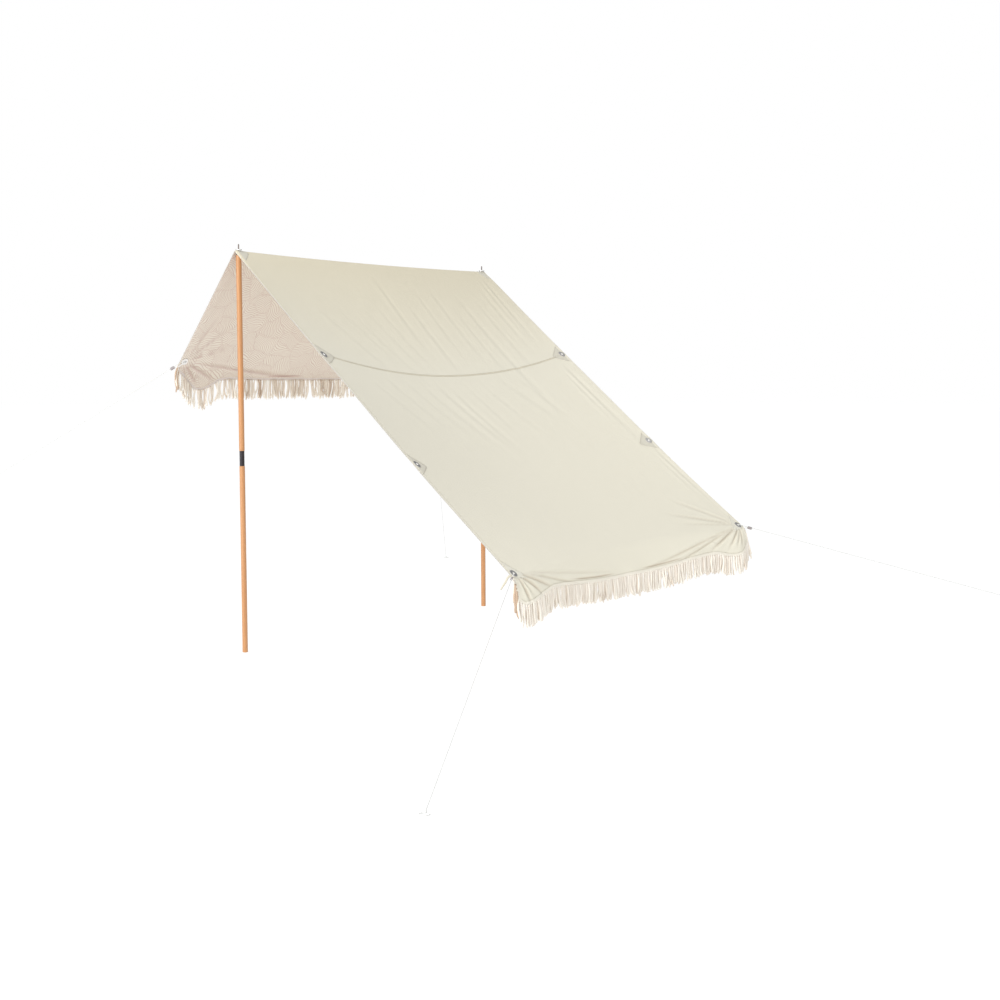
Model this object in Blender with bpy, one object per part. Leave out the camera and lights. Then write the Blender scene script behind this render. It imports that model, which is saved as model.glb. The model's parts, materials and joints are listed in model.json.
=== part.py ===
import bmesh
import bpy
import math
import numpy as np
from mathutils import Matrix, Vector

# Driving dimensions in metres, the ridge along X, the low side towards -Y, ground at z = 0
HALF_SPAN = 0.800
RIDGE_HEIGHT = 1.600
RIDGE_SAG = 0.008
RIDGE_ROUND = 0.008
RIDGE_RAISE = 0.003
SIDE_OVERHANG = 0.022
GAP = 0.0003

# Corner eyelets as distance from the ridge line and height, left and right
FRONT_REACH = (1.330, 1.369)
FRONT_HEIGHT = (0.407, 0.459)
BACK_REACH = (0.321, 0.321)
BACK_HEIGHT = (1.169, 1.169)
EDGE_LINE_CURVE = 0.022
EDGE_LINE_DROOP = 0.020
FRONT_SAG_SIDE = 0.020
FRONT_SAG_MIDDLE = 0.080
BACK_SAG = 0.006
CREASE_PAST = 0.028
WIDTH_STEPS = 25

# Cloth, flaps and fringe
CLOTH_THICK = 0.003
SEAM_SHARE = 0.335
RIDGE_LAP = 0.020
SEAM_TAPE_WIDTH = 0.012
SEAM_TAPE_THICK = 0.001
FLAP_DROP_FRONT = 0.095
FLAP_DROP_BACK = 0.075
FLAP_CORNER_EXTRA = 0.018
FLAP_BULGE = 0.010
FLAP_BEND = 0.012
FLAP_START = 0.0005
BAND_HEIGHT = 0.014
BAND_THICK = 0.0015
FRINGE_LENGTH = 0.100
FRINGE_THICK = 0.007

# Poles and their fittings
POLE_RADIUS = 0.011
POLE_TOP = 1.584
CONNECTOR_RADIUS = 0.0098
CONNECTOR_BOTTOM = 0.750
CONNECTOR_TOP = 0.810
POLE_CHAMFER = 0.0012
PIN_RADIUS = 0.0026
PIN_TOP = 1.627
COLLAR_RADIUS = 0.0044
COLLAR_TOP = 1.5960

# Eyelets
EYELET_OUTER = 0.0160
EYELET_HOLE = 0.0062
EYELET_BARREL = 0.0074
EYELET_FLANGE = 0.0013
CLOTH_HOLE = 0.0080
RIDGE_HOLE = 0.0054
RIDGE_RING_RADIUS = 0.0105
RIDGE_RING_TUBE = 0.0024
EYELET_LIFT = 0.0008
SIDE_EYELET_SHARES = (0.334, 0.674)

# Guy lines, run over the ground and angle forward of the ridge direction, in degrees
CORD_RADIUS = 0.0016
GUY_RUN = {"front_left": 1.65, "front_right": 1.65, "back_left": 1.92, "back_right": 1.92}
GUY_ANGLE = {"front_left": 28.0, "front_right": 38.0, "back_left": 36.0, "back_right": 36.0}
ADJUSTER_AT = 0.056
ADJUSTER_SIZE = (0.0115, 0.0065, 0.018)
ADJUSTER_BORE = 0.0021
STRAND_OFFSET = 0.0056
KNOT_RADIUS = 0.0046
GROUND_RING_RADIUS = 0.014


def clear_scene():
    for item in list(bpy.data.objects):
        bpy.data.objects.remove(item, do_unlink=True)


def material(name, color, roughness, metallic=0.0):
    made = bpy.data.materials.new(name)
    made.use_nodes = True
    shader = made.node_tree.nodes["Principled BSDF"]
    shader.inputs["Base Color"].default_value = (*color, 1.0)
    shader.inputs["Roughness"].default_value = roughness
    shader.inputs["Metallic"].default_value = metallic
    return made


def add_mesh(name, verts, faces, mat, smooth=True):
    mesh = bpy.data.meshes.new(name)
    mesh.from_pydata([tuple(map(float, v)) for v in verts], [], [tuple(map(int, f)) for f in faces])
    work = bmesh.new()
    work.from_mesh(mesh)
    bmesh.ops.recalc_face_normals(work, faces=work.faces)
    work.to_mesh(mesh)
    work.free()
    made = bpy.data.objects.new(name, mesh)
    bpy.context.scene.collection.objects.link(made)
    mesh.materials.append(mat)
    for face in mesh.polygons:
        face.use_smooth = smooth
    return made


# Shape of the cloth

def across(x):
    return (x + HALF_SPAN) / (2.0 * HALF_SPAN)


def arch(t):
    return np.clip(4.0 * t * (1.0 - t), -0.2, 1.0)


def ridge_point(x):
    t = across(x)
    z = RIDGE_HEIGHT + RIDGE_RAISE - RIDGE_SAG * arch(t)
    return np.stack([x, np.zeros_like(x), z], -1)


def line_point(x, reach, height, sign):
    t = across(x)
    y = sign * (reach[0] + (reach[1] - reach[0]) * t - EDGE_LINE_CURVE * arch(t))
    z = height[0] + (height[1] - height[0]) * t - EDGE_LINE_DROOP * arch(t)
    return np.stack([x, y, z], -1)


def slope_point(x, share, front):
    top = ridge_point(x)
    if front:
        low = line_point(x, FRONT_REACH, FRONT_HEIGHT, -1.0)
        sag = FRONT_SAG_SIDE + FRONT_SAG_MIDDLE * arch(across(x))
    else:
        low = line_point(x, BACK_REACH, BACK_HEIGHT, 1.0)
        sag = BACK_SAG * np.ones_like(x)
    point = top + (low - top) * share[..., None]
    point[..., 2] -= sag * 4.0 * share * (1.0 - share)
    return point


def slope_length(front):
    reach = FRONT_REACH if front else BACK_REACH
    height = FRONT_HEIGHT if front else BACK_HEIGHT
    return math.hypot(reach[0], RIDGE_HEIGHT - height[0])


# The cloth at a signed distance from the ridge, plus to the front, rounded over the ridge
def cloth_point(x, dist):
    share_front = np.maximum(dist, 0.0) / slope_length(True)
    share_back = np.maximum(-dist, 0.0) / slope_length(False)
    plain = np.where(
        (dist >= 0.0)[..., None],
        slope_point(x, share_front, True),
        slope_point(x, share_back, False),
    )
    step = RIDGE_ROUND * np.ones_like(dist)
    top = ridge_point(x)
    down_front = (slope_point(x, step / slope_length(True), True) - top) / RIDGE_ROUND
    down_back = (slope_point(x, step / slope_length(False), False) - top) / RIDGE_ROUND
    near = np.clip(dist, -RIDGE_ROUND, RIDGE_ROUND)
    ahead = ((RIDGE_ROUND + near) ** 2 / (4.0 * RIDGE_ROUND))[..., None]
    behind = ((RIDGE_ROUND - near) ** 2 / (4.0 * RIDGE_ROUND))[..., None]
    rounded = top + down_front * ahead + down_back * behind
    return np.where((np.abs(dist) < RIDGE_ROUND)[..., None], rounded, plain)


def surface_normal(point_at, u, v):
    small = 0.0004
    du = point_at(u + small, v) - point_at(u - small, v)
    dv = point_at(u, v + small) - point_at(u, v - small)
    normal = np.cross(du, dv)
    normal /= np.linalg.norm(normal, axis=-1, keepdims=True)
    return normal


# A closed sheet between two offsets of a surface, over a grid of u and v values
def sheet(name, point_at, us, vs, low, high, mat, flip=False):
    u, v = np.meshgrid(us, vs, indexing="ij")
    point = point_at(u, v)
    normal = surface_normal(point_at, u, v)
    if flip:
        normal = -normal
    nu, nv = len(us), len(vs)
    verts = np.concatenate([
        (point + normal * high).reshape(-1, 3),
        (point + normal * low).reshape(-1, 3),
    ])
    i, j = np.meshgrid(np.arange(nu - 1), np.arange(nv - 1), indexing="ij")
    a = (i * nv + j).ravel()
    quads = np.stack([a, a + nv, a + nv + 1, a + 1], -1)
    shift = nu * nv
    faces = [tuple(q) for q in quads]
    faces += [tuple(q[::-1] + shift) for q in quads]
    rim = [k * nv for k in range(nu)]
    rim += [(nu - 1) * nv + k for k in range(1, nv)]
    rim += [k * nv + nv - 1 for k in range(nu - 2, -1, -1)]
    rim += [k for k in range(nv - 2, 0, -1)]
    for first, second in zip(rim, rim[1:] + rim[:1]):
        faces.append((first, second, second + shift, first + shift))
    return add_mesh(name, verts, faces, mat)


def cut_holes(target, centres, radius, sides=20):
    for centre, axis in centres:
        bpy.ops.mesh.primitive_cylinder_add(vertices=sides, radius=radius, depth=0.03, location=centre)
        cutter = bpy.context.active_object
        cutter.rotation_mode = "QUATERNION"
        cutter.rotation_quaternion = Vector((0, 0, 1)).rotation_difference(Vector(axis))
        cutter.hide_render = True
        cutter.display_type = "WIRE"
        apply_boolean(target, cutter, "DIFFERENCE")


def apply_boolean(target, other, operation):
    change = target.modifiers.new("boolean", "BOOLEAN")
    change.operation = operation
    change.solver = "EXACT"
    change.object = other
    bpy.context.view_layer.objects.active = target
    bpy.ops.object.modifier_apply(modifier=change.name)
    bpy.data.objects.remove(other, do_unlink=True)


def cloth_frame(x, dist):
    u = np.array([x], dtype=float)
    v = np.array([dist], dtype=float)
    point = cloth_point(u, v)[0]
    normal = surface_normal(cloth_point, u, v)[0]
    if normal[2] < 0.0:
        normal = -normal
    return Vector(point), Vector(normal)


def eyelet_places():
    front = slope_length(True)
    places = {"side": [], "corner": {}}
    for side in (-1.0, 1.0):
        for share in SIDE_EYELET_SHARES:
            places["side"].append(cloth_frame(side * HALF_SPAN, share * front))
        word = "left" if side < 0 else "right"
        places["corner"]["front_" + word] = cloth_frame(side * HALF_SPAN, front)
        places["corner"]["back_" + word] = cloth_frame(side * HALF_SPAN, -slope_length(False))
    return places


# Cloth panels

def width_steps():
    edge = HALF_SPAN + SIDE_OVERHANG
    return np.linspace(-edge, edge, WIDTH_STEPS)


def make_panels(outer, places):
    half = CLOTH_THICK / 2.0
    seam = SEAM_SHARE * slope_length(True)
    round_part = np.array([-0.0075, -0.005, -0.0025, 0.0, 0.0025, 0.005, 0.0075, 0.012])
    upper_steps = np.concatenate([[-RIDGE_LAP], round_part, np.linspace(0.06, seam - GAP / 2.0, 8)])
    upper = sheet("canopy_front_upper", cloth_point, width_steps(), upper_steps, -half, half, outer)
    front_end = slope_length(True) + CREASE_PAST
    lower_steps = np.linspace(seam + GAP / 2.0, front_end, 15)
    lower = sheet("canopy_front_lower", cloth_point, width_steps(), lower_steps, -half, half, outer)
    back_end = slope_length(False) + CREASE_PAST
    back_steps = np.linspace(-back_end, -RIDGE_LAP - GAP, 8)
    back = sheet("canopy_back", cloth_point, width_steps(), back_steps, -half, half, outer)
    side_holes = places["side"]
    ridge_holes = [(Vector((s * HALF_SPAN, 0.0, RIDGE_HEIGHT)), Vector((0, 0, 1))) for s in (-1, 1)]
    cut_holes(upper, ridge_holes, RIDGE_HOLE)
    cut_holes(upper, [p for p in side_holes if p[0].z > 1.0], CLOTH_HOLE)
    cut_holes(lower, side_holes, CLOTH_HOLE)
    cut_holes(lower, [places["corner"][k] for k in ("front_left", "front_right")], CLOTH_HOLE)
    cut_holes(back, [places["corner"][k] for k in ("back_left", "back_right")], CLOTH_HOLE)


# Hanging flap below the crease at the front or the back, q is the distance down it
def flap_drop(x, front):
    t = across(x)
    drop = FLAP_DROP_FRONT if front else FLAP_DROP_BACK
    return drop + FLAP_CORNER_EXTRA * (1.0 - np.clip(arch(t), 0.0, 1.0)) ** 2


def flap_point(x, q, front):
    end = slope_length(front) + CREASE_PAST
    sign = -1.0 if front else 1.0
    crease = cloth_point(x, end * np.ones_like(x) * -sign)
    point = crease.copy()
    bulge = FLAP_BULGE * (1.0 - np.exp(-q / FLAP_BEND))
    point[..., 1] += sign * (FLAP_START + bulge)
    point[..., 2] -= FLAP_START + q
    return point


def make_flap(front, outer, band_mat, fringe_mat):
    word = "front" if front else "back"
    half = CLOTH_THICK / 2.0

    def shape(x, share):
        return flap_point(x, share * flap_drop(x, front), front)

    def below(x, depth):
        return flap_point(x, flap_drop(x, front) + depth, front)

    flip = front
    xs = width_steps()
    sheet("canopy_" + word + "_flap", shape, xs, np.array([0.0, 0.05, 0.12, 0.25, 0.5, 0.75, 1.0]),
          -half, half, outer, flip)
    steps = np.array([-BAND_HEIGHT, 0.0])
    low = half + GAP
    sheet("fringe_band_" + word, below, xs, steps, low, low + BAND_THICK, band_mat, flip)
    steps = np.array([GAP, FRINGE_LENGTH * 0.5, FRINGE_LENGTH])
    sheet("fringe_" + word, below, xs, steps, -FRINGE_THICK / 2, FRINGE_THICK / 2, fringe_mat, flip)


def make_seam_tape(mat):
    seam = SEAM_SHARE * slope_length(True)
    low = CLOTH_THICK / 2.0 + GAP
    half = SEAM_TAPE_WIDTH / 2.0
    steps = np.array([seam - half, seam + half])
    xs = width_steps()[1:-1]
    sheet("front_seam_tape", cloth_point, xs, steps, low, low + SEAM_TAPE_THICK, mat)


# Turned shapes

def lathe(name, profile, location, axis, mat, steps=32, closed=True):
    angles = np.linspace(0.0, 2.0 * math.pi, steps, endpoint=False)
    turn = Vector((0, 0, 1)).rotation_difference(Vector(axis)).to_matrix()
    radius = np.array([p[0] for p in profile])
    height = np.array([p[1] for p in profile])
    x = radius[None, :] * np.cos(angles)[:, None]
    y = radius[None, :] * np.sin(angles)[:, None]
    z = np.broadcast_to(height, x.shape)
    verts = np.stack([x, y, z], -1).reshape(-1, 3) @ np.array(turn).T + np.array(location)
    count = len(profile)
    faces = []
    spans = count if closed else count - 1
    for i in range(steps):
        following = (i + 1) % steps
        for j in range(spans):
            k = (j + 1) % count
            faces.append((i * count + j, following * count + j, following * count + k, i * count + k))
    if not closed:
        faces.append(tuple(i * count for i in range(steps))[::-1])
        faces.append(tuple(i * count + count - 1 for i in range(steps)))
    return add_mesh(name, verts, faces, mat)


def rod(name, x, profile, mat, steps=32):
    return lathe(name, profile, (x, 0.0, 0.0), (0, 0, 1), mat, steps, closed=False)


def make_pole(side, wood, black, steel):
    word = "left" if side < 0 else "right"
    x = side * HALF_SPAN
    c = POLE_CHAMFER
    r = POLE_RADIUS
    low_top = CONNECTOR_BOTTOM - GAP
    rod("pole_" + word + "_lower", x, [(r - c, 0.0), (r, c), (r, low_top - c), (r - c, low_top)], wood)
    r2 = CONNECTOR_RADIUS
    rod("pole_" + word + "_connector", x, [(r2, CONNECTOR_BOTTOM), (r2, CONNECTOR_TOP)], black)
    start = CONNECTOR_TOP + GAP
    rod("pole_" + word + "_upper", x, [(r - c, start), (r, start + c), (r, POLE_TOP - 2 * c),
                                       (r - 2 * c, POLE_TOP)], wood)
    start = POLE_TOP + GAP
    rod("pole_" + word + "_spike", x, [
        (COLLAR_RADIUS, start),
        (COLLAR_RADIUS, COLLAR_TOP - 0.0008),
        (COLLAR_RADIUS - 0.0008, COLLAR_TOP),
        (PIN_RADIUS, COLLAR_TOP),
        (PIN_RADIUS, PIN_TOP - 0.0022),
        (PIN_RADIUS * 0.5, PIN_TOP),
    ], steel, 20)


def eyelet_profile():
    top = CLOTH_THICK / 2.0 + EYELET_LIFT
    bottom = -top
    f = EYELET_FLANGE
    ease = 0.0005
    return [
        (EYELET_HOLE, bottom - f + ease),
        (EYELET_HOLE + ease, bottom - f),
        (EYELET_OUTER - ease, bottom - f),
        (EYELET_OUTER, bottom - f + ease),
        (EYELET_OUTER, bottom),
        (EYELET_BARREL, bottom),
        (EYELET_BARREL, top),
        (EYELET_OUTER, top),
        (EYELET_OUTER, top + f - ease),
        (EYELET_OUTER - ease, top + f),
        (EYELET_HOLE + ease, top + f),
        (EYELET_HOLE, top + f - ease),
    ]


def make_eyelets(steel, places):
    profile = eyelet_profile()
    words = ("side_eyelet_left_upper", "side_eyelet_left_lower",
             "side_eyelet_right_upper", "side_eyelet_right_lower")
    for word, (point, normal) in zip(words, places["side"]):
        lathe(word, profile, point, normal, steel, 20)
    for word, (point, normal) in places["corner"].items():
        lathe("corner_eyelet_" + word, profile, point, normal, steel, 20)
    tube = RIDGE_RING_TUBE
    turns = np.linspace(0.0, 2.0 * math.pi, 12, endpoint=False)
    ring = [(RIDGE_RING_RADIUS + tube * math.cos(a), tube * math.sin(a)) for a in turns]
    height = RIDGE_HEIGHT + CLOTH_THICK / 2.0 + GAP * 2.0 + tube
    for word, side in (("left", -1), ("right", 1)):
        lathe("ridge_eyelet_" + word, ring, (side * HALF_SPAN, 0.0, height), (0, 0, 1), steel, 28)


# Cords

def smooth_path(points, per=4):
    p = [np.array(q, dtype=float) for q in points]
    p = [2 * p[0] - p[1]] + p + [2 * p[-1] - p[-2]]
    out = []
    for a, b, c, d in zip(p, p[1:], p[2:], p[3:]):
        for k in range(per):
            t = k / per
            out.append(0.5 * (2 * b + (c - a) * t + (2 * a - 5 * b + 4 * c - d) * t * t
                              + (3 * b - a - 3 * c + d) * t ** 3))
    out.append(p[-2])
    return np.array(out)


def tube(name, path, radius, mat, sides=8):
    path = np.array(path)
    tangent = np.gradient(path, axis=0)
    tangent /= np.linalg.norm(tangent, axis=1)[:, None]
    frame = Vector(tangent[0]).to_track_quat("Z", "Y").to_matrix()
    normal = np.array(frame.col[0])
    verts = []
    for point, along in zip(path, tangent):
        normal = normal - along * np.dot(normal, along)
        normal /= np.linalg.norm(normal)
        other = np.cross(along, normal)
        for k in range(sides):
            a = 2.0 * math.pi * k / sides
            verts.append(point + radius * (math.cos(a) * normal + math.sin(a) * other))
    count = len(path)
    faces = []
    for i in range(count - 1):
        for k in range(sides):
            n = (k + 1) % sides
            faces.append((i * sides + k, i * sides + n, (i + 1) * sides + n, (i + 1) * sides + k))
    faces.append(tuple(range(sides))[::-1])
    faces.append(tuple((count - 1) * sides + k for k in range(sides)))
    return add_mesh(name, verts, faces, mat)


def guy_frame(key, places):
    centre, normal = places["corner"][key]
    out = -1.0 if key.endswith("left") else 1.0
    ahead = -1.0 if key.startswith("front") else 1.0
    angle = math.radians(GUY_ANGLE[key])
    ground = Vector((
        centre.x + out * GUY_RUN[key] * math.cos(angle),
        centre.y + ahead * GUY_RUN[key] * math.sin(angle),
        KNOT_RADIUS,
    ))
    start = centre + normal * (CLOTH_THICK / 2 + EYELET_LIFT + EYELET_FLANGE + CORD_RADIUS + GAP)
    along = (ground - start).normalized()
    up = (normal - along * normal.dot(along)).normalized()
    in_cloth = (along - normal * normal.dot(along)).normalized()
    return centre, normal, start, ground, along, up, in_cloth


def make_guy(key, places, cord_mat, slider_mat):
    centre, normal, start, ground, along, up, in_cloth = guy_frame(key, places)
    below = CLOTH_THICK / 2 + EYELET_LIFT + EYELET_FLANGE + CORD_RADIUS + GAP
    strand_end = ADJUSTER_AT - ADJUSTER_SIZE[2] / 2 - 0.0012
    back_at = start + along * strand_end - up * STRAND_OFFSET
    edge_at = SIDE_OVERHANG / abs(in_cloth.x)
    loop = smooth_path([
        start + along * 0.016,
        start + along * 0.006,
        centre + normal * 0.0035,
        centre - normal * 0.0025,
        centre - normal * (below + 0.0004) + in_cloth * 0.007,
        centre - normal * (below + 0.0008) + in_cloth * (edge_at * 0.7),
        centre - normal * below + in_cloth * (edge_at + 0.0035),
        back_at - along * 0.003,
        back_at,
    ])
    line = tube("guy_line_" + key, np.concatenate([[ground], loop]), CORD_RADIUS, cord_mat)
    flat = Vector((along.x, along.y, 0.0)).normalized()
    middle = ground + flat * (GROUND_RING_RADIUS + 0.001)
    turns = np.linspace(0.0, 2.0 * math.pi, 8, endpoint=False)
    ring = [(GROUND_RING_RADIUS + CORD_RADIUS * math.cos(a), CORD_RADIUS * math.sin(a)) for a in turns]
    eye = lathe("ring", ring, (middle.x, middle.y, CORD_RADIUS), (0, 0, 1), cord_mat, 20)
    bpy.ops.mesh.primitive_uv_sphere_add(segments=12, ring_count=7, radius=KNOT_RADIUS, location=ground)
    knot = bpy.context.active_object
    knot.scale = (1.25, 1.0, 1.0)
    knot.rotation_euler = (0.0, 0.0, math.atan2(flat.y, flat.x))
    bpy.ops.object.transform_apply(location=True, rotation=True, scale=True)
    apply_boolean(line, knot, "UNION")
    apply_boolean(line, eye, "UNION")
    shade_round(line)
    make_adjuster(key, start, along, up, cord_mat, slider_mat)


def shade_round(item):
    for face in item.data.polygons:
        face.use_smooth = True


# Slider with two lengthwise bores, one runs on the guy line and one holds the knotted end
def make_adjuster(key, start, along, up, cord_mat, slider_mat):
    middle = start + along * ADJUSTER_AT - up * (STRAND_OFFSET / 2)
    side = along.cross(up)
    turn = Matrix((up, side, along)).transposed().to_4x4()
    bpy.ops.mesh.primitive_cube_add(size=1.0)
    bar = bpy.context.active_object
    bar.name = "adjuster_" + key
    bar.data.name = bar.name
    bar.scale = ADJUSTER_SIZE
    bpy.ops.object.transform_apply(location=False, rotation=False, scale=True)
    bevel = bar.modifiers.new("bevel", "BEVEL")
    bevel.width = 0.0012
    bevel.segments = 2
    bpy.ops.object.modifier_apply(modifier=bevel.name)
    bar.data.transform(Matrix.Translation(middle) @ turn)
    bar.data.materials.append(slider_mat)
    offsets = (STRAND_OFFSET / 2, -STRAND_OFFSET / 2)
    cut_holes(bar, [(middle + up * o, along) for o in offsets], ADJUSTER_BORE, 12)
    half = ADJUSTER_SIZE[2] / 2
    hold = middle - up * (STRAND_OFFSET / 2)
    past = hold + along * (half + GAP + 0.0021)
    stub = tube("return_knot_" + key, [hold - along * (half - 0.001), past], CORD_RADIUS, cord_mat)
    bpy.ops.mesh.primitive_uv_sphere_add(segments=12, ring_count=7, radius=0.0030, location=past)
    knot = bpy.context.active_object
    knot.location = hold + along * (half + GAP + 0.0031)
    bpy.ops.object.transform_apply(location=True, rotation=True, scale=True)
    apply_boolean(stub, knot, "UNION")
    shade_round(stub)


# Puts the origin at ground level under the middle of the whole box
def centre_frame():
    items = list(bpy.data.objects)
    corners = np.array([list(v.co) for item in items for v in item.data.vertices])
    middle = (corners.min(axis=0) + corners.max(axis=0)) / 2.0
    shift = Matrix.Translation((-middle[0], -middle[1], 0.0))
    for item in items:
        item.data.transform(shift)
    print("frame shift", -middle[0], -middle[1])


def main():
    clear_scene()
    outer = material("canvas", (0.80, 0.76, 0.66), 0.9)
    trim = material("woven_trim", (0.82, 0.76, 0.64), 0.9)
    strands = material("cotton_fringe", (0.86, 0.79, 0.68), 0.95)
    wood = material("varnished_wood", (0.74, 0.42, 0.20), 0.45)
    black = material("black_metal", (0.03, 0.03, 0.035), 0.4, 0.6)
    steel = material("eyelet_metal", (0.60, 0.59, 0.56), 0.35, 1.0)
    cord = material("white_cord", (0.82, 0.82, 0.80), 0.85)
    slider = material("grey_plastic", (0.30, 0.30, 0.30), 0.5)
    places = eyelet_places()
    make_panels(outer, places)
    make_flap(True, outer, trim, strands)
    make_flap(False, outer, trim, strands)
    make_seam_tape(trim)
    for side in (-1, 1):
        make_pole(side, wood, black, steel)
    make_eyelets(steel, places)
    for key in GUY_RUN:
        make_guy(key, places, cord, slider)
    centre_frame()


main()
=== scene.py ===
import json
import math
import bpy
import numpy as np
from mathutils import Matrix, Vector


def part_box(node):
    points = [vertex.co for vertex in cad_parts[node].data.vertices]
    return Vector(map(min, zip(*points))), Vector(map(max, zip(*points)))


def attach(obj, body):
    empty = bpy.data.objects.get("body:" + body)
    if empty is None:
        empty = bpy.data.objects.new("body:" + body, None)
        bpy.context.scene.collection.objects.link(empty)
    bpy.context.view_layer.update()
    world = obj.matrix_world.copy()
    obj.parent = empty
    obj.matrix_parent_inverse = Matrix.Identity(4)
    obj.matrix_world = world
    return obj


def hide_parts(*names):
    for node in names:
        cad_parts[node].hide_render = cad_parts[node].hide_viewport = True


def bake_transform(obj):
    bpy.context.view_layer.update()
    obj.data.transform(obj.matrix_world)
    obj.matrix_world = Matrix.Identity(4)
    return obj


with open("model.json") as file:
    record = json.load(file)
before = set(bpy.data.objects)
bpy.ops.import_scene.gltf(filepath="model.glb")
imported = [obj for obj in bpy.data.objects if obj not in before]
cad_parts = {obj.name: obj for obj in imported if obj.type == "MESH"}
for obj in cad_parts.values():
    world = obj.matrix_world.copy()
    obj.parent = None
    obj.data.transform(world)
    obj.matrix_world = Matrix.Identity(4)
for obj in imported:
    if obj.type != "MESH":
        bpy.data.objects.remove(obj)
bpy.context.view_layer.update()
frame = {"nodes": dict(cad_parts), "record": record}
print("frame loaded")

# The cloth is worked out with the ridge over y = 0 and moved to the model's own frame
canopy = dict(
    halfSpan=0.800, ridgeHeight=1.600, ridgeSag=0.008, ridgeRound=0.008, ridgeRaise=0.003,
    overhang=0.022, frontReach=(1.330, 1.369), frontHeight=(0.407, 0.459),
    backReach=(0.321, 0.321), backHeight=(1.169, 1.169), lineCurve=0.022, lineDroop=0.020,
    frontSagSide=0.020, frontSagMiddle=0.086, backSag=0.006, creasePast=0.014,
    seamShare=0.335, sideShares=(0.334, 0.674), thick=0.0016, endFlat=0.007, endDroop=0.007,
    endFade=22.0,
)
sideEdge = canopy["halfSpan"] + canopy["overhang"]
footLow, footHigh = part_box("pole_left_lower")
frameShift = np.array([(footLow[0] + footHigh[0]) / 2 + canopy["halfSpan"],
                       (footLow[1] + footHigh[1]) / 2, 0.0])


# ---- camera, lights and floor
def setCamera():
    look = dict(focal=57.6, place=(-5.335, -4.597, 1.085), yaw=53.77, pitch=4.27, roll=-0.27)
    yaw, pitch, roll = (math.radians(look[k]) for k in ("yaw", "pitch", "roll"))
    forward = Vector((math.sin(yaw) * math.cos(pitch), math.cos(yaw) * math.cos(pitch),
                      -math.sin(pitch)))
    right = Vector((math.cos(yaw), -math.sin(yaw), 0.0))
    up = right.cross(forward)
    turnedRight = right * math.cos(roll) + up * math.sin(roll)
    turnedUp = up * math.cos(roll) - right * math.sin(roll)
    turn = Matrix((turnedRight, turnedUp, -forward)).transposed()
    lens = bpy.data.cameras.new("camera")
    lens.lens = look["focal"]
    lens.sensor_width = 36.0
    lens.clip_end = 200.0
    camera = bpy.data.objects.new("camera", lens)
    bpy.context.scene.collection.objects.link(camera)
    place = Vector(look["place"]) + Vector(frameShift)
    camera.matrix_world = Matrix.Translation(place) @ turn.to_4x4()
    bpy.context.scene.camera = camera


def setLights():
    light = dict(world=0.53, backdrop=1.0,
                 lamps=(("key", (-11.2, -0.6, 7.6), 3.6, 1040.0), ("fill", (-0.6, -4.6, 0.9), 2.0, 28.0),
                        ("side", (-7.5, 1.9, 1.2), 3.4, 170.0)))
    world = bpy.data.worlds.new("studio")
    bpy.context.scene.world = world
    world.use_nodes = True
    nodes, links = world.node_tree.nodes, world.node_tree.links
    lit = nodes["Background"]
    lit.inputs["Color"].default_value = (1.0, 1.0, 1.0, 1.0)
    lit.inputs["Strength"].default_value = light["world"]
    seen = nodes.new("ShaderNodeBackground")
    seen.inputs["Color"].default_value = (1.0, 1.0, 1.0, 1.0)
    seen.inputs["Strength"].default_value = light["backdrop"]
    ray, mix = nodes.new("ShaderNodeLightPath"), nodes.new("ShaderNodeMixShader")
    links.new(ray.outputs["Is Camera Ray"], mix.inputs[0])
    links.new(lit.outputs[0], mix.inputs[1])
    links.new(seen.outputs[0], mix.inputs[2])
    links.new(mix.outputs[0], nodes["World Output"].inputs[0])
    for name, place, size, power in light["lamps"]:
        lamp = bpy.data.lights.new(name, "AREA")
        lamp.size = size
        lamp.energy = power
        item = bpy.data.objects.new(name, lamp)
        bpy.context.scene.collection.objects.link(item)
        item.location = place
        item.rotation_mode = "QUATERNION"
        item.rotation_quaternion = (Vector((0, 0, 0.8)) - Vector(place)).to_track_quat("-Z", "Y")
    bpy.context.scene.view_settings.view_transform = "Standard"
    bpy.context.scene.view_settings.look = "None"


def setFloor():
    floorLook = dict(half=60.0, glow=0.86, shade=0.25)
    half = floorLook["half"]
    mesh = bpy.data.meshes.new("floor")
    mesh.from_pydata([(-half, -half, 0), (half, -half, 0), (half, half, 0), (-half, half, 0)],
                     [], [(0, 1, 2, 3)])
    floor = bpy.data.objects.new("floor", mesh)
    bpy.context.scene.collection.objects.link(floor)
    mat = bpy.data.materials.new("studioFloor")
    mat.use_nodes = True
    shader = mat.node_tree.nodes["Principled BSDF"]
    shader.inputs["Base Color"].default_value = (floorLook["shade"],) * 3 + (1,)
    shader.inputs["Roughness"].default_value = 0.9
    shader.inputs["Specular IOR Level"].default_value = 0.1
    shader.inputs["Emission Color"].default_value = (1, 1, 1, 1)
    shader.inputs["Emission Strength"].default_value = floorLook["glow"]
    mesh.materials.append(mat)


setCamera()
setLights()
setFloor()
print("camera, lights and floor ready")


# ---- node helpers
def newMaterial(name):
    mat = bpy.data.materials.new(name)
    mat.use_nodes = True
    return mat, mat.node_tree.nodes, mat.node_tree.links, mat.node_tree.nodes["Principled BSDF"]


def addNode(nodes, kind, **values):
    node = nodes.new(kind)
    for key, value in values.items():
        if key in [s.name for s in node.inputs]:
            node.inputs[key].default_value = value
        else:
            setattr(node, key, value)
    return node


def calc(nodes, links, operation, *values):
    node = nodes.new("ShaderNodeMath")
    node.operation = operation
    for socket, value in zip(node.inputs, values):
        if isinstance(value, (int, float)):
            socket.default_value = value
        else:
            links.new(value, socket)
    return node.outputs[0]


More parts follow.
